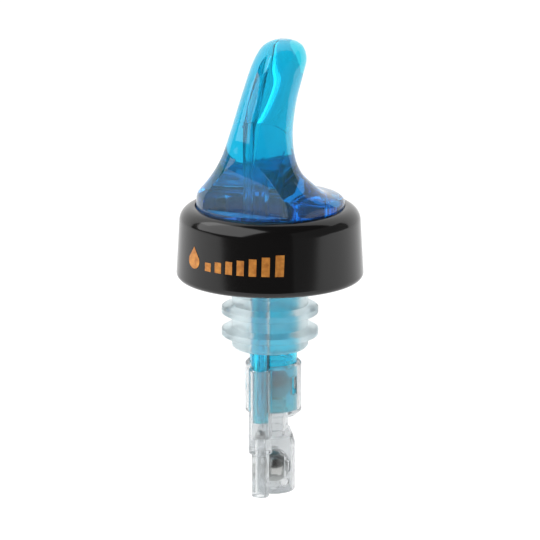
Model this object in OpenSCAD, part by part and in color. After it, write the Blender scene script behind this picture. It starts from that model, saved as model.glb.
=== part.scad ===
// Measured liquor pour spout: a blue spout and inner tube, a black collar, a soft stopper,
// a clear valve body with its cage cap, two steel metering balls and one breather ball.
// The origin is on the stopper's axis, midway between its two sealing fins.
// +Z runs up to the spout and +X is the side that it pours to.

/* [Stopper] */
// Radius of the sealing fins, which press into the bottle's neck
fin_r = 11; // [10.6:0.1:11.6]
// Distance between the two fins
fin_pitch = 5.1; // [4.6:0.1:5.6]
// Length of each fin's straight rim
fin_land = 1.2; // [0.8:0.1:1.6]
// Radius of the stopper between the fins
core_r = 8.7; // [8.4:0.1:9.2]
// Radius of the flange that sits on the bottle's lip
lip_flange_r = 14.5; // [13.5:0.5:15.5]

/* [Spout] */
// Height of the spout's tip
tip_z = 63.4; // [63:0.1:64]
// Lean of the spout's upper length
lean = 40; // [38:0.5:41]
// Radius of the liquid bore
liquid_r = 3; // [2.6:0.1:3.1]
// Radius of the air bore
air_r = 1.2; // [1:0.05:1.25]

/* [Collar] */
// Outer radius at the collar's lower rim
collar_r = 21.2; // [20.9:0.1:21.6]
// Radius of the opening that the skirt comes out of
lip_r = 17; // [16.95:0.05:17.2]

/* [Valve] */
// Distance of the valve from the stopper's axis
valve_x = 1.8; // [1.6:0.1:2]
// Distance of the breather from the stopper's axis
breather_x = -5.05; // [-5.2:0.05:-4.9]
// Radius of the two metering balls
ball_r = 3.97; // [3.9:0.01:4]
// Radius of the breather ball
breather_ball_r = 1.19; // [1.1:0.01:1.3]
// Inner radius of the metering cup
cup_r = 5.5; // [5.4:0.1:5.6]
// Inner radius of the ball cage
cage_r = 4.14; // [4.1:0.02:4.2]

/* [Hidden] */
$fn = 96;
// clearances between touching faces
eps = 0.02;
gap = 0.05;
// how far a cut runs past a face, and how deep one shape is sunk into another
lap = 1;
sink = 0.4;

// heights, from the top down
lip_z = 26.7;
plate_top = 23;
plate_bottom = 21.4;
rim_z = 10.1;
flange_bottom = 13.1;
hub_bottom = 6.8;
stopper_bottom = -6.2;
cup_top = -10.1;
seat_z = -11.2;
cup_floor = -21.2;
cup_bottom = -22.4;
tube_end = -22.9;
bell_top = -26.1;
bell_shoulder = -29.5;
body_bottom = -40.6;

// collar
collar_wall = 1.4;
draft = 0.7;
collar_top_r = collar_r - draft;
rim_round = 1.3;
shoulder_r = collar_top_r - lip_r - 0.1;
shoulder_t = 1.6;
bead_r = 0.45;
flange_t = 1.6;
under_lip = 0.8;
plate_r = collar_top_r - collar_wall - gap;
hub_r = core_r + 0.5;
head_bottom = 16;
head_r = plate_r - 0.8;

// stopper
edge = 0.5;
fin_root = 0.8;
fin_edge = 0.4;
fin_slope = 0.25;

// printed mark on the collar's back
mark_z = 15.2;
mark_h = 4.8;
mark_drop_r = 1.75;
mark_bars = 7;
mark_pitch = 2.75;
mark_bar_share = 0.6;
mark_first_bar = 0.4;
mark_w = mark_drop_r * 3 + mark_pitch * (mark_bars - 1 + mark_bar_share);
drop_centre = mark_drop_r * 0.9;
drop_flank = [mark_drop_r * 0.94, mark_drop_r * 0.34];
ink_gap = 0.01;
ink_t = 0.06;

// inner tube
tube_r = cup_r - gap;
chamber_r = 4.6;
seat_r = 3;
seat_t = 1.9;
chamber_roof = 1.2;
lobe_r = 2.15;
lobe_low_r = 1.8;
snap_angle = 75;
nub_w = 1.2;
nub_reach = 1.1;

// metering balls at rest and the seats that stop them
neck_r = 2.3;
neck_wall = 1.1;
rest_drop = sqrt(pow(ball_r, 2) - pow(neck_r, 2));
upper_ball_z = -15.6;
pedestal_z = upper_ball_z - rest_drop - eps;
cap_top = -39.1;
lower_ball_z = cap_top + ball_r + eps;
bell_ceiling = -27.8;
cup_wall = 0.92;
cage_wall = 0.83;
cup_outer = cup_r + cup_wall;
cage_outer = cage_r + cage_wall;
cup_foot = 0.8;
cup_edge = 0.4;
bell_step = 0.5;
bell_rise = 1.7;
bell_neck = 0.4;
neck_outer = neck_r + neck_wall;
pedestal_wall = 0.8;
web_t = 1.2;
bleed_r = 0.8;

// breather
barrel_r = 1.87;
barrel_wall = 0.8;
barrel_outer = barrel_r + barrel_wall;
barrel_top = -10.6;
snorkel_r = 1.95;
breather_ball_z = -26.1;
breather_bore = 0.95;
breather_seat = breather_ball_z - sqrt(pow(breather_ball_r, 2) - pow(breather_bore, 2)) - eps;
barrel_step = -30.2;

// openings of the valve body, at angles from the back
window_half = 62;
window_ease = 0.4;
window_bottom = -37.8;
window_top = -29.8;
snap_z = -15;
snap_w = 1.6;
snap_h = 4.2;
slit_angle = 72;
slit_z = -34.4;
slit_w = 0.9;
slit_h = 2.4;
port_angle = 59;
port_z = -38.1;
port_r = 1.1;

// spout sections: height, back, front, widest place and half width
skirt_low = [plate_top, -16.7, 16.7, 0, 16.7];
skirt_lip = [28.1, -16.6, 16.6, 0, 16.65];
skirt_brow = [30.2, -16.1, 8.5, -4, 14.9];
skirt_mid = [32.4, -15.5, 5.8, -5.6, 12.6];
skirt_high = [35.4, -14.5, 2.8, -6.6, 10.1];
horn_root = [39, -13.15, 2.6, -6.4, 8.2];
horn_low = [44, -12.6, 4.5, -5, 6.7];
horn_mid = [50, -10.8, 7.8, -1.3, 5.75];
horn_high = [55.5, -7, 10.8, 3.4, 5.6];
horn_mouth = [59, -3, 12.4, 5.8, 5.6];
tip_brow = [61.6, 0.6, 11.8, 6.6, 4.7];
tip_round = [62.8, 3, 10.4, 6.8, 3.3];
tip_top = [tip_z, 5.2, 8.6, 6.8, 1.6];
SECTIONS = [skirt_low, skirt_lip, skirt_brow, skirt_mid, skirt_high, horn_root, horn_low,
    horn_mid, horn_high, horn_mouth, tip_brow, tip_round, tip_top];
// the flat on the skirt's back, which leaves an arched edge
flat_x = -12.9;
flat_low = 27.3;
flat_high = 41;
sides = 40;
spans = 2;

// bores of the spout
riser_x = -2.4;
riser_wall = 1.3;
riser_bore = liquid_r - 0.3;
mouth_x = 10;
mouth_z = 59.3;
bend_z = mouth_z - (mouth_x - riser_x) / tan(lean);
bend_lap = 0.5;
riser_top = bend_z + riser_bore * tan(lean / 2) + bend_lap;
run_past = liquid_r * 3;
run_length = (mouth_x - riser_x) / sin(lean) + bend_lap + run_past;
air_x = -10.3;
air_top = 47.6;
air_run_z = 46;
air_lean = 30;
air_exit = 18;
room_h = 1;
room_r = 14.9;
pocket_turn = 52;
pocket_ring = 10.6;
pocket_r = 2.4;
pocket_top = 28.4;

// the side of an egg-shaped section at one angle
function egg(s, a) = [
    s[3] + (cos(a) > 0 ? s[2] - s[3] : s[3] - s[1]) * cos(a),
    s[4] * sin(a),
    s[0]];

// a smooth value between two sections, with the slopes of their neighbours
function ease(p, a, b, q, t) =
    let (m = (b - p) / 2, n = (q - a) / 2)
    a + m * t + (3 * (b - a) - 2 * m - n) * pow(t, 2) + (2 * (a - b) + m + n) * pow(t, 3);

function between(list, i, t) =
    let (last = len(list) - 1)
    [for (k = [0 : 4]) ease(list[max(i - 1, 0)][k], list[i][k],
        list[min(i + 1, last)][k], list[min(i + 2, last)][k], t)];

function fine(list) = concat(
    [for (i = [0 : len(list) - 2], j = [0 : spans - 1]) between(list, i, j / spans)],
    [list[len(list) - 1]]);

// a closed skin through a stack of sections
module loft(list) {
    rows = fine(list);
    points = [for (s = rows, j = [0 : sides - 1]) egg(s, j * 360 / sides)];
    top = (len(rows) - 1) * sides;
    quads = [for (i = [0 : len(rows) - 2], j = [0 : sides - 1])
        let (a = i * sides + j, b = i * sides + (j + 1) % sides)
        [a, a + sides, b + sides, b]];
    floor_face = [[for (j = [0 : sides - 1]) j]];
    roof_face = [[for (j = [sides - 1 : -1 : 0]) top + j]];
    polyhedron(points, concat(floor_face, quads, roof_face), convexity = 6);
}

// a rod between two heights, standing at one place along X
module post(x, z_low, z_high, r) {
    translate([x, 0, z_low]) cylinder(r = r, h = z_high - z_low);
}

// a ring turned about the axis at x, from its outline's corners
module turned(x, outline) {
    translate([x, 0, 0]) rotate_extrude() polygon(outline);
}

// everything between two angles either side of the back
module back_sector(half_angle, r, z_low, z_high) {
    reach = r * 2;
    translate([0, 0, z_low]) linear_extrude(z_high - z_low)
        polygon([[0, 0],
            [-reach * cos(half_angle), reach * sin(half_angle)],
            [-reach * 2, reach * sin(half_angle)],
            [-reach * 2, -reach * sin(half_angle)],
            [-reach * cos(half_angle), -reach * sin(half_angle)]]);
}

module liquid_run() {
    translate([mouth_x, 0, mouth_z]) rotate([0, 180 + lean, 0])
        translate([0, 0, -run_past]) cylinder(r = liquid_r, h = run_length);
}

module air_run() {
    translate([air_x, 0, air_run_z]) rotate([0, air_lean, 0]) cylinder(r = air_r, h = air_exit);
}

module back_flat() {
    translate([flat_x * 2, -skirt_low[4], flat_low])
        cube([-flat_x, skirt_low[4] * 2, flat_high - flat_low]);
}

// pockets that keep the thick skirt of even thickness
module pockets() {
    for (turn = [-pocket_turn, 0, pocket_turn])
        rotate([0, 0, turn]) post(pocket_ring, plate_top - lap, pocket_top, pocket_r);
}

module pour_spout() {
    color("deepskyblue") difference() {
        union() {
            loft(SECTIONS);
            post(0, plate_top, plate_top + flange_t, plate_r);
        }
        post(0, plate_top - lap, plate_top + room_h, room_r);
        pockets();
        back_flat();
        post(riser_x, plate_top - lap, riser_top, riser_bore);
        liquid_run();
        post(air_x, plate_top - lap, air_top, air_r);
        air_run();
    }
}

module inner_tube() {
    color("deepskyblue") difference() {
        union() {
            post(0, plate_bottom, plate_top - gap, plate_r);
            post(valve_x, cup_floor + gap * 2, plate_bottom + sink, tube_r);
            post(breather_x, barrel_top + sink, plate_bottom + sink, lobe_r);
            post(breather_x, tube_end, barrel_top + lap, lobe_low_r);
            post(riser_x, plate_bottom, plate_top + room_h - gap, riser_bore + riser_wall);
            for (side = [-1, 1]) translate([valve_x, 0, snap_z - snap_h / 2 + gap])
                rotate([0, 0, 180 + side * snap_angle]) translate([tube_r - sink, -nub_w / 2, 0])
                    cube([nub_reach, nub_w, nub_w]);
        }
        post(valve_x, seat_z + seat_t, plate_bottom - chamber_roof, chamber_r);
        post(valve_x, seat_z - lap, seat_z + seat_t + lap, seat_r);
        post(valve_x, cup_floor - lap, seat_z, chamber_r);
        post(riser_x, plate_bottom - chamber_roof - lap, plate_top + room_h + lap, riser_bore);
        post(breather_x, tube_end - lap, plate_top + lap, breather_bore);
    }
}

// the collar's outline: a tall side, a round shoulder and the lip round the skirt
module collar_outline() {
    side_top = lip_z - shoulder_r;
    inner_top = plate_top + flange_t + gap * 2;
    difference() {
        union() {
            polygon([[lip_r, rim_z], [collar_r - rim_round, rim_z],
                [collar_r, rim_z + rim_round], [collar_top_r, side_top],
                [collar_top_r - shoulder_r, lip_z], [lip_r, lip_z]]);
            translate([collar_top_r - shoulder_r, side_top]) circle(r = shoulder_r);
            translate([collar_r - rim_round, rim_z + rim_round]) circle(r = rim_round);
        }
        translate([0, rim_z - lap]) square([plate_r + gap, inner_top - rim_z + lap]);
        translate([0, inner_top - lap]) square([lip_r, lip_z]);
        translate([0, inner_top - lap])
            square([lip_r + under_lip, lip_z - shoulder_t - inner_top + lap]);
    }
}

module collar() {
    color("black") rotate_extrude() {
        collar_outline();
        translate([plate_r + gap, plate_bottom - bead_r - gap]) circle(r = bead_r);
    }
}

module fin(z) {
    half = fin_land / 2;
    translate([0, 0, z]) rotate_extrude()
        polygon([[core_r - sink, -half - fin_root], [core_r, -half - fin_root],
            [fin_r - fin_edge, -half - fin_slope], [fin_r, -half], [fin_r, half],
            [fin_r - fin_edge, half + fin_slope], [core_r, half + fin_root],
            [core_r - sink, half + fin_root]]);
}

module stopper() {
    color("gainsboro") difference() {
        union() {
            turned(0, [[0, stopper_bottom], [core_r - edge, stopper_bottom],
                [core_r, stopper_bottom + edge], [core_r, hub_bottom - edge],
                [hub_r, hub_bottom], [hub_r, flange_bottom], [lip_flange_r, flange_bottom],
                [lip_flange_r, head_bottom], [head_r, head_bottom],
                [head_r, plate_bottom - gap], [0, plate_bottom - gap]]);
            fin(fin_pitch / 2);
            fin(-fin_pitch / 2);
        }
        post(valve_x, stopper_bottom - lap, plate_bottom + lap, tube_r + eps);
        post(breather_x, stopper_bottom - lap, plate_bottom + lap, lobe_r + eps);
    }
}

// a hole through a wall at one angle from the back, as wide and tall as given
module wall_hole(angle, z, width, height) {
    rotate([0, 0, 180 + angle]) translate([cage_r / 2, -width / 2, z - height / 2])
        cube([cup_r * 2, width, height]);
}

module cage_window() {
    half_width = cage_outer * sin(window_half);
    arch_z = window_top - half_width;
    intersection() {
        back_sector(window_half, cage_outer, window_bottom, window_top);
        rotate([0, -90, 0]) union() {
            translate([arch_z, 0, 0]) cylinder(r = half_width + window_ease, h = cage_outer * 2);
            translate([window_bottom, -cage_outer, 0])
                cube([arch_z - window_bottom, cage_outer * 2, cage_outer * 2]);
        }
    }
}

// the metering cup and the upper length of the breather barrel beside it
module cup() {
    difference() {
        union() {
            turned(valve_x, [[0, cup_bottom], [cup_outer - cup_foot, cup_bottom],
                [cup_outer, cup_bottom + cup_foot], [cup_outer, cup_top - cup_edge],
                [cup_outer - cup_edge, cup_top], [0, cup_top]]);
            post(breather_x, barrel_step, barrel_top, barrel_outer);
        }
        post(valve_x, cup_floor, cup_top + lap, cup_r);
        translate([valve_x, 0, 0]) for (side = [-1, 1])
            wall_hole(side * snap_angle, snap_z, snap_w, snap_h);
    }
}

// the bell-shaped cage of the lower ball, with its window, ports and slits
module cage() {
    difference() {
        turned(valve_x, [[0, body_bottom], [cage_outer, body_bottom],
            [cage_outer, bell_shoulder], [cage_outer - bell_step, bell_shoulder + bell_rise],
            [neck_outer + bell_neck, bell_top], [0, bell_top]]);
        post(valve_x, body_bottom - lap, bell_ceiling, cage_r);
        translate([valve_x, 0, 0]) {
            for (side = [-1, 1]) {
                wall_hole(side * slit_angle, slit_z, slit_w, slit_h);
                rotate([0, 0, 180 + side * port_angle]) translate([cage_r / 2, 0, port_z])
                    rotate([0, 90, 0]) cylinder(r = port_r, h = cup_r);
            }
            cage_window();
        }
    }
}

// the thin tube below the breather barrel, and the webs that hold it to the cage
module snorkel() {
    web = valve_x - cage_r - breather_x - gap;
    post(breather_x, body_bottom, barrel_step + lap, snorkel_r);
    translate([breather_x, -web_t / 2, body_bottom]) cube([web, web_t, window_bottom - body_bottom]);
    translate([breather_x, -web_t / 2, window_top])
        cube([web, web_t, cup_bottom - window_top + lap]);
    translate([breather_x, -web_t / 2, bell_top])
        cube([valve_x - breather_x, web_t, cup_bottom - bell_top + sink]);
}

module valve_body() {
    color("whitesmoke") difference() {
        union() {
            cup();
            cage();
            snorkel();
            post(valve_x, bell_top - lap, cup_bottom + lap, neck_outer);
            post(valve_x, cup_floor - sink, pedestal_z, neck_r + pedestal_wall);
        }
        post(valve_x, bell_ceiling - lap, pedestal_z + lap, neck_r);
        post(breather_x, breather_seat, barrel_top + lap, barrel_r);
        post(breather_x, body_bottom - lap, breather_seat + lap, breather_bore);
    }
}

// the floor of the cage, pressed up into it once the lower ball is in
module cage_cap() {
    color("whitesmoke") difference() {
        post(valve_x, body_bottom, cap_top, cage_r - eps);
        post(valve_x, body_bottom - lap, cap_top + lap, bleed_r);
    }
}

// the printed mark: a drop and a row of bars that grow, one for each step of the dose
module mark_outline() {
    translate([0, drop_centre]) {
        circle(r = mark_drop_r);
        polygon([[-drop_flank[0], drop_flank[1]], drop_flank, [0, mark_h - drop_centre]]);
    }
    for (i = [0 : mark_bars - 1])
        translate([mark_drop_r * 2 + i * mark_pitch, 0])
            square([mark_pitch * mark_bar_share,
                mark_h * (mark_first_bar + (1 - mark_first_bar) * i / (mark_bars - 1))]);
}

module volume_mark() {
    side_top = lip_z - shoulder_r;
    side_foot = rim_z + rim_round;
    slope = (collar_r - collar_top_r) / (side_top - side_foot);
    low_r = collar_r - slope * (mark_z - lap - side_foot);
    high_r = collar_r - slope * (mark_z + mark_h + lap - side_foot);
    color("orange") intersection() {
        rotate_extrude() polygon([[low_r + ink_gap, mark_z - lap], [low_r + ink_t, mark_z - lap],
            [high_r + ink_t, mark_z + mark_h + lap], [high_r + ink_gap, mark_z + mark_h + lap]]);
        translate([0, mark_w / 2 - mark_drop_r, mark_z]) rotate([90, 0, -90])
            linear_extrude(collar_r * 2) mark_outline();
    }
}

module ball(x, z, r) {
    translate([x, 0, z]) sphere(r = r);
}

module upper_ball() {
    color("silver") ball(valve_x, upper_ball_z, ball_r);
}

module lower_ball() {
    color("silver") ball(valve_x, lower_ball_z, ball_r);
}

module breather_ball() {
    color("silver") ball(breather_x, breather_ball_z, breather_ball_r);
}

pour_spout();
inner_tube();
collar();
stopper();
valve_body();
cage_cap();
upper_ball();
lower_ball();
breather_ball();
volume_mark();
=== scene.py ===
import itertools
import math
import bpy
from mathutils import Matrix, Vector


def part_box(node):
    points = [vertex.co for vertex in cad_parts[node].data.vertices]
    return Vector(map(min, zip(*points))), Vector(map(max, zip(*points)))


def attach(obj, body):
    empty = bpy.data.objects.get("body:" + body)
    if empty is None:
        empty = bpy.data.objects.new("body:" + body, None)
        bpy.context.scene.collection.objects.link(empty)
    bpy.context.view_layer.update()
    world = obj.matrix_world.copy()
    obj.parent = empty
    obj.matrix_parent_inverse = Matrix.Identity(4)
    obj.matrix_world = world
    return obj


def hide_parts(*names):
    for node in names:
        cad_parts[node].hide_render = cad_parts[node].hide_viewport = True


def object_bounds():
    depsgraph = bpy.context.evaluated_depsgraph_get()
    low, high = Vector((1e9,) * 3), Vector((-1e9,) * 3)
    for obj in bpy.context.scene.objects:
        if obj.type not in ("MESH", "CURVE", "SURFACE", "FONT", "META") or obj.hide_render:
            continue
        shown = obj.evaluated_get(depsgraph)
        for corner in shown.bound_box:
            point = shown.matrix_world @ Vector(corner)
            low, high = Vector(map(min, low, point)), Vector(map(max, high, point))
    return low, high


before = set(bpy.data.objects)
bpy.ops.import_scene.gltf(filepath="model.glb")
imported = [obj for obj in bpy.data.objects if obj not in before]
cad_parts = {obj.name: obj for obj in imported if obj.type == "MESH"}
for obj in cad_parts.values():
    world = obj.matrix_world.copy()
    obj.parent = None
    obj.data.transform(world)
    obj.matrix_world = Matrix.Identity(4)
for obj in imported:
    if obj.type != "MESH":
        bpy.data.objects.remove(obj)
cad_low, cad_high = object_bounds()

MM = 0.001
SPOUT_LOW, SPOUT_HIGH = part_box("pour_spout")


def leaning(degrees):
    """The direction that leans towards +X from straight up."""
    return Vector((math.sin(math.radians(degrees)), 0, math.cos(math.radians(degrees))))


# sizes of the pouring horn, in millimetres, as the CAD node has them
FLANGE_R = SPOUT_HIGH.x / MM
FLANGE_T = 1.6
PLATE_TOP = SPOUT_LOW.z / MM
TIP_Z = SPOUT_HIGH.z / MM

# the liquid's way: a riser, a bend and a leaning run out to the mouth
LIQUID_R = 3.0
RISER_R = 2.7
RISER_X = -2.4
LEAN = 40
MOUTH = Vector((10, 0, 59.3))
BEND_LAP = 0.5
BEND_Z = MOUTH.z - (MOUTH.x - RISER_X) / math.tan(math.radians(LEAN))
RISER_TOP = BEND_Z + RISER_R * math.tan(math.radians(LEAN) / 2) + BEND_LAP
RUN_LENGTH = (MOUTH.x - RISER_X) / math.sin(math.radians(LEAN)) + BEND_LAP
RUN_PAST = 9

# the air's way, behind it
AIR_R = 1.2
AIR_X = -10.3
AIR_TOP = 47.6
AIR_RUN_Z = 46
AIR_LEAN = 30
AIR_LENGTH = 18

# the air room and the moulding pockets under the skirt
CUT_PAST = 1
ROOM_H = 1
ROOM_R = 14.9
POCKET_TURN = 52
POCKET_RING = 10.6
POCKET_R = 2.4
POCKET_TOP = 28.4

# the flat on the skirt's back
FLAT_X = -12.9
FLAT_LOW = 27.3
FLAT_HIGH = 41

# horn sections: height, back, front, widest place, half width
SKIRT = [
    (PLATE_TOP, -16.7, 16.7, 0, 16.7), (28.1, -16.6, 16.6, 0, 16.65),
    (30.2, -16.1, 8.5, -4, 14.9), (32.4, -15.5, 5.8, -5.6, 12.6)]
HORN = [
    (35.4, -14.5, 2.8, -6.6, 10.1), (39, -13.15, 2.6, -6.4, 8.2),
    (44, -12.6, 4.5, -5, 6.7), (50, -10.8, 7.8, -1.3, 5.75),
    (55.5, -7, 10.8, 3.4, 5.6), (59, -3, 12.4, 5.8, 5.6),
    (61.6, 0.6, 11.8, 6.6, 4.7), (62.8, 3, 10.4, 6.8, 3.3),
    (TIP_Z, 5.2, 8.6, 6.8, 1.6)]


# ---------------------------------------------------------------- mesh helpers

def new_object(name, points, faces):
    """An object from a mesh whose points are in millimetres."""
    mesh = bpy.data.meshes.new(name)
    mesh.from_pydata([Vector(p) * MM for p in points], [], faces)
    mesh.update()
    mesh.shade_smooth()
    piece = bpy.data.objects.new(name, mesh)
    bpy.context.collection.objects.link(piece)
    return piece


def ease(before, a, b, after, t):
    """A smooth value between a and b, with the slopes of their neighbours."""
    m, n = (b - before) / 2, (after - a) / 2
    return a + m * t + (3 * (b - a) - 2 * m - n) * t**2 + (2 * (a - b) + m + n) * t**3


def fine_rows(sections, spans):
    rows, last = [], len(sections) - 1
    for i in range(last):
        around = [sections[k] for k in (max(i - 1, 0), i, i + 1, min(i + 2, last))]
        for step in range(spans):
            rows.append([ease(*values, step / spans) for values in zip(*around)])
    return rows + [list(sections[-1])]


def loft(name, sections, sides=144, spans=8):
    """A closed skin through egg-shaped sections."""
    points, faces = [], []
    rows = fine_rows(sections, spans)
    for z, back, front, widest, half in rows:
        for j in range(sides):
            a = 2 * math.pi * j / sides
            depth = front - widest if math.cos(a) > 0 else widest - back
            points.append((widest + depth * math.cos(a), half * math.sin(a), z))
    for i in range(len(rows) - 1):
        for j in range(sides):
            k = (j + 1) % sides
            a, b = i * sides, (i + 1) * sides
            faces.append((a + j, a + k, b + k, b + j))
    faces.append(tuple(reversed(range(sides))))
    faces.append(tuple(range((len(rows) - 1) * sides, len(rows) * sides)))
    return new_object(name, points, faces)


def rod(name, start, end, r, sides=96):
    """A closed cylinder between two points."""
    start, end = Vector(start), Vector(end)
    turn = (end - start).to_track_quat("Z", "Y")
    points, faces = [], []
    for centre in (start, end):
        for j in range(sides):
            a = 2 * math.pi * j / sides
            points.append(centre + turn @ Vector((r * math.cos(a), r * math.sin(a), 0)))
    for j in range(sides):
        k = (j + 1) % sides
        faces.append((j, k, sides + k, sides + j))
    faces.append(tuple(reversed(range(sides))))
    faces.append(tuple(range(sides, 2 * sides)))
    return new_object(name, points, faces)


def block(name, low, high):
    corners = list(itertools.product(*zip(low, high)))
    faces = [(0, 1, 3, 2), (4, 6, 7, 5), (0, 4, 5, 1), (2, 3, 7, 6), (0, 2, 6, 4), (1, 5, 7, 3)]
    return new_object(name, corners, faces)


def combine(operation, first, *others):
    """Joins other solids to the first or cuts them from it, and removes them."""
    for other in others:
        step = first.modifiers.new("combine", "BOOLEAN")
        step.operation = operation
        step.solver = "EXACT"
        step.object = other
        graph = bpy.context.evaluated_depsgraph_get()
        made = bpy.data.meshes.new_from_object(first.evaluated_get(graph))
        first.modifiers.clear()
        first.data = made
        bpy.data.objects.remove(other)
    return first


def soften_edges(piece, sharp_from):
    piece.data.shade_smooth()
    piece.data.set_sharp_from_angle(angle=math.radians(sharp_from))


# ---------------------------------------------------------------- pouring horn

def upright(name, x, low, high, r, sides=96):
    return rod(name, (x, 0, low), (x, 0, high), r, sides)


def make_horn():
    horn = loft("horn", SKIRT + HORN)
    combine("UNION", horn, upright("flange", 0, PLATE_TOP, PLATE_TOP + FLANGE_T, FLANGE_R, 144))
    under, along = PLATE_TOP - CUT_PAST, leaning(LEAN)
    air_start = Vector((AIR_X, 0, AIR_RUN_Z))
    bores = [
        upright("air_room", 0, under, PLATE_TOP + ROOM_H, ROOM_R, 144),
        upright("liquid_bore", RISER_X, under, RISER_TOP, RISER_R),
        rod("liquid_run", MOUTH - along * RUN_LENGTH, MOUTH + along * RUN_PAST, LIQUID_R),
        upright("air_bore", AIR_X, under, AIR_TOP, AIR_R),
        rod("air_run", air_start, air_start + leaning(AIR_LEAN) * AIR_LENGTH, AIR_R)]
    for turn in (-POCKET_TURN, 0, POCKET_TURN):
        turn = math.radians(turn)
        x, y = POCKET_RING * math.cos(turn), POCKET_RING * math.sin(turn)
        bores.append(rod("pocket", (x, y, under), (x, y, POCKET_TOP), POCKET_R))
    wide = SKIRT[0][4]
    bores.append(block("back_flat", (FLAT_X * 2, -wide, FLAT_LOW), (FLAT_X, wide, FLAT_HIGH)))
    combine("DIFFERENCE", horn, *bores)
    soften_edges(horn, 28)
    horn.name = "pouring_horn"
    return horn


# ---------------------------------------------------------------- materials

def shader(name):
    material = bpy.data.materials.new(name)
    material.use_nodes = True
    nodes = material.node_tree.nodes
    return material, next(n for n in nodes if n.type == "BSDF_PRINCIPLED")


def noise_bump(material, surface, scale, strength, distance):
    """A faint moulded unevenness on the surface."""
    tree = material.node_tree
    noise = tree.nodes.new("ShaderNodeTexNoise")
    noise.inputs["Scale"].default_value = scale
    noise.inputs["Detail"].default_value = 4
    place = tree.nodes.new("ShaderNodeTexCoord")
    bump = tree.nodes.new("ShaderNodeBump")
    bump.inputs["Strength"].default_value = strength
    bump.inputs["Distance"].default_value = distance
    tree.links.new(place.outputs["Object"], noise.inputs["Vector"])
    tree.links.new(noise.outputs["Fac"], bump.inputs["Height"])
    tree.links.new(bump.outputs["Normal"], surface.inputs["Normal"])
    return noise


def see_through(name, colour, transmission, roughness, ior, tint, density):
    """Clear or tinted plastic: light is absorbed along its way inside."""
    material, surface = shader(name)
    tree = material.node_tree
    output = next(n for n in tree.nodes if n.type == "OUTPUT_MATERIAL")
    surface.inputs["Base Color"].default_value = (*colour, 1)
    surface.inputs["Transmission Weight"].default_value = transmission
    surface.inputs["Roughness"].default_value = roughness
    surface.inputs["IOR"].default_value = ior
    volume = tree.nodes.new("ShaderNodeVolumeAbsorption")
    volume.inputs["Color"].default_value = (*tint, 1)
    volume.inputs["Density"].default_value = density
    tree.links.new(volume.outputs["Volume"], output.inputs["Volume"])
    return material, surface


def tinted_plastic(name, transmission, painted_depth_colour):
    """Blue plastic. The tint is real, but its change with height is painted shade: purple-blue
    low down, where the moulding is thick, and turquoise up the horn. This stands in for the
    light absorbed through thick and thin plastic and brightens the skirt.
    """
    material, surface = see_through(
        name, painted_depth_colour, transmission, 0.015, 1.49, (0.0, 0.77, 0.933), 150)
    tree = material.node_tree
    place = tree.nodes.new("ShaderNodeTexCoord")
    parts = tree.nodes.new("ShaderNodeSeparateXYZ")
    height = tree.nodes.new("ShaderNodeMapRange")
    height.inputs["From Min"].default_value = PLATE_TOP * MM
    height.inputs["From Max"].default_value = TIP_Z * MM
    # painted shade: this ramp colours the plastic by height, deeper blue low down, in place of
    # light absorbed through its thickness
    ramp = tree.nodes.new("ShaderNodeValToRGB")
    low, high = ramp.color_ramp.elements
    low.color, low.position = (*painted_depth_colour, 1), 0.08
    high.color, high.position = (0.05, 0.8, 0.93, 1), 0.42
    tree.links.new(place.outputs["Object"], parts.inputs["Vector"])
    tree.links.new(parts.outputs["Z"], height.inputs["Value"])
    tree.links.new(height.outputs["Result"], ramp.inputs["Fac"])
    tree.links.new(ramp.outputs["Color"], surface.inputs["Base Color"])
    noise_bump(material, surface, 90, 0.05, 0.0004)
    return material


def clear_plastic():
    material, surface = see_through(
        "clear_plastic", (0.88, 0.9, 0.91), 0.84, 0.13, 1.22, (0.6, 0.63, 0.65), 30)
    noise_bump(material, surface, 120, 0.05, 0.0004)
    return material


def frosted_plastic():
    material, surface = see_through(
        "frosted_plastic", (0.86, 0.97, 0.99), 0.87, 0.32, 1.22, (0.7, 0.74, 0.78), 20)
    noise_bump(material, surface, 260, 0.12, 0.0003)
    return material


def black_plastic():
    material, surface = shader("black_plastic")
    surface.inputs["Base Color"].default_value = (0.004, 0.0035, 0.0035, 1)
    surface.inputs["Roughness"].default_value = 0.13
    surface.inputs["IOR"].default_value = 1.5
    noise_bump(material, surface, 150, 0.04, 0.0003)
    return material


def polished_steel():
    material, surface = shader("polished_steel")
    surface.inputs["Base Color"].default_value = (0.46, 0.47, 0.46, 1)
    surface.inputs["Metallic"].default_value = 1
    surface.inputs["Roughness"].default_value = 0.24
    noise_bump(material, surface, 500, 0.03, 0.0002)
    return material


def orange_ink():
    """Pad-printed ink, a little uneven in tone."""
    material, surface = shader("orange_ink")
    noise = noise_bump(material, surface, 900, 0.2, 0.0001)
    ramp = material.node_tree.nodes.new("ShaderNodeValToRGB")
    thin, full = ramp.color_ramp.elements
    thin.color, thin.position = (0.42, 0.13, 0.015, 1), 0.3
    full.color, full.position = (0.72, 0.3, 0.05, 1), 0.7
    material.node_tree.links.new(noise.outputs["Fac"], ramp.inputs["Fac"])
    material.node_tree.links.new(ramp.outputs["Color"], surface.inputs["Base Color"])
    surface.inputs["Roughness"].default_value = 0.35
    return material


def dress(piece, material):
    piece.data.materials.clear()
    piece.data.materials.append(material)


# ---------------------------------------------------------------- stage

def emitter(name, grey, strength):
    material, surface = shader(name)
    surface.inputs["Base Color"].default_value = (grey, grey, grey, 1)
    surface.inputs["Specular IOR Level"].default_value = 0
    surface.inputs["Emission Color"].default_value = (1, 1, 1, 1)
    surface.inputs["Emission Strength"].default_value = strength
    return material


def make_camera(target, back, distance):
    camera = bpy.data.objects.new("camera", bpy.data.cameras.new("camera"))
    bpy.context.collection.objects.link(camera)
    camera.location = target + back * distance
    camera.rotation_mode = "QUATERNION"
    camera.rotation_quaternion = (-back).to_track_quat("-Z", "Y")
    camera.data.lens = 205.8
    camera.data.sensor_width = 36
    camera.data.clip_start = 0.01
    bpy.context.scene.camera = camera


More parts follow.
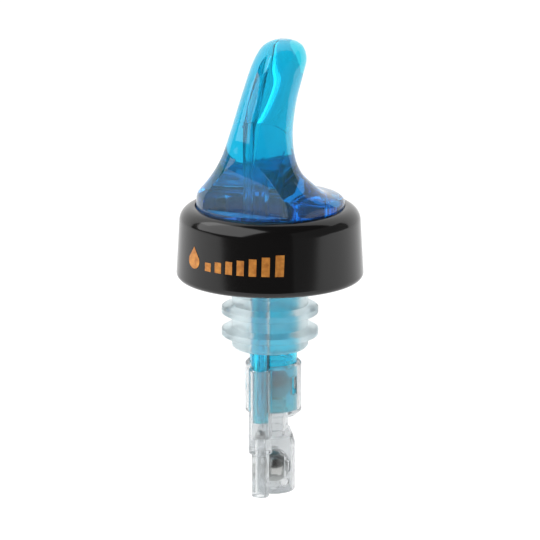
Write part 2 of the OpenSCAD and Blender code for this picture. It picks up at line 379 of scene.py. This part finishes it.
def panel_light(name, place, aim, width, height, power):
    """A soft rectangular lamp."""
    lamp = bpy.data.objects.new(name, bpy.data.lights.new(name, "AREA"))
    bpy.context.collection.objects.link(lamp)
    lamp.data.shape = "RECTANGLE"
    lamp.data.size = width
    lamp.data.size_y = height
    lamp.data.energy = power
    lamp.location = place
    lamp.rotation_mode = "QUATERNION"
    lamp.rotation_quaternion = (aim - place).to_track_quat("-Z", "Y")


def sheet(name, centre, side, other, material):
    """A flat stage panel, reaching from its centre by two half sides."""
    corners = [centre - side - other, centre + side - other,
               centre + side + other, centre - side + other]
    panel = new_object(name, [corner / MM for corner in corners], [(0, 1, 2, 3)])
    dress(panel, material)


def make_stage(target, ahead, across):
    up = Vector((0, 0, 1))
    ground = Vector((0, 0, cad_low.z - 0.05))
    white = emitter("white_backdrop", 0.1, 1.0)
    # the floor ends just in front of the object, so that the collar keeps its dark side
    floor_near, floor_far = -0.4, 4
    middle, half_depth = (floor_near + floor_far) / 2, (floor_far - floor_near) / 2
    sheet("floor", ground + ahead * middle, across * 3, ahead * half_depth,
          emitter("pale_floor", 0.15, 0.98))
    sheet("backdrop", target + ahead * 1.2, across * 2.4, up * 1.6, white)
    sheet("ceiling", target + up * 1.1 + ahead, across * 1.6, ahead * 0.8, white)


def around(target, level_back, across, turn, rise, distance):
    """A place round the object, turned to the camera's right and raised above the horizon."""
    turn, rise = math.radians(turn), math.radians(rise)
    flat = level_back * math.cos(turn) + across * math.sin(turn)
    return target + (flat * math.cos(rise) + Vector((0, 0, math.sin(rise)))) * distance


def make_world(level):
    """An even, faint light from all round."""
    world = bpy.data.worlds.new("studio")
    world.use_nodes = True
    world.node_tree.nodes["Background"].inputs["Color"].default_value = (level, level, level, 1)
    bpy.context.scene.world = world


horn = make_horn()
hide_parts("pour_spout")
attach(horn, "root")

clear = clear_plastic()
steel = polished_steel()
dress(horn, tinted_plastic("tinted_plastic", 0.88, (0.34, 0.66, 1.0)))
dress(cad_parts["inner_tube"], tinted_plastic("tinted_tube", 0.93, (0.06, 0.86, 1.0)))
dress(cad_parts["collar"], black_plastic())
dress(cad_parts["stopper"], frosted_plastic())
for node in ("valve_body", "cage_cap"):
    dress(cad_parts[node], clear)
dress(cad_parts["volume_mark"], orange_ink())
for node in ("upper_ball", "lower_ball", "breather_ball"):
    dress(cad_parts[node], steel)

# the camera looks at the back of the spout, from a little above
azimuth, elevation = math.radians(-64.5), math.radians(14)
level_back = Vector((math.sin(azimuth), -math.cos(azimuth), 0))
back = level_back * math.cos(elevation) + Vector((0, 0, math.sin(elevation)))
target = Vector((0, 0, 0.01157))
across = Vector((-level_back.y, level_back.x, 0))
make_camera(target, back, 0.7)
make_stage(target, -level_back, across)
make_world(0.09)
right = around(target, level_back, across, 70, 2, 0.7)
left = around(target, level_back, across, -68, 38, 0.8)
panel_light("right_panel", right, target, 1.26, 1.1, 0.6)
panel_light("left_softbox", left, target, 1.25, 1.0, 8.2)

scene = bpy.context.scene
scene.view_settings.view_transform = "Standard"
scene.cycles.max_bounces = 24
scene.cycles.transmission_bounces = 24
scene.cycles.transparent_max_bounces = 24
scene.cycles.glossy_bounces = 8
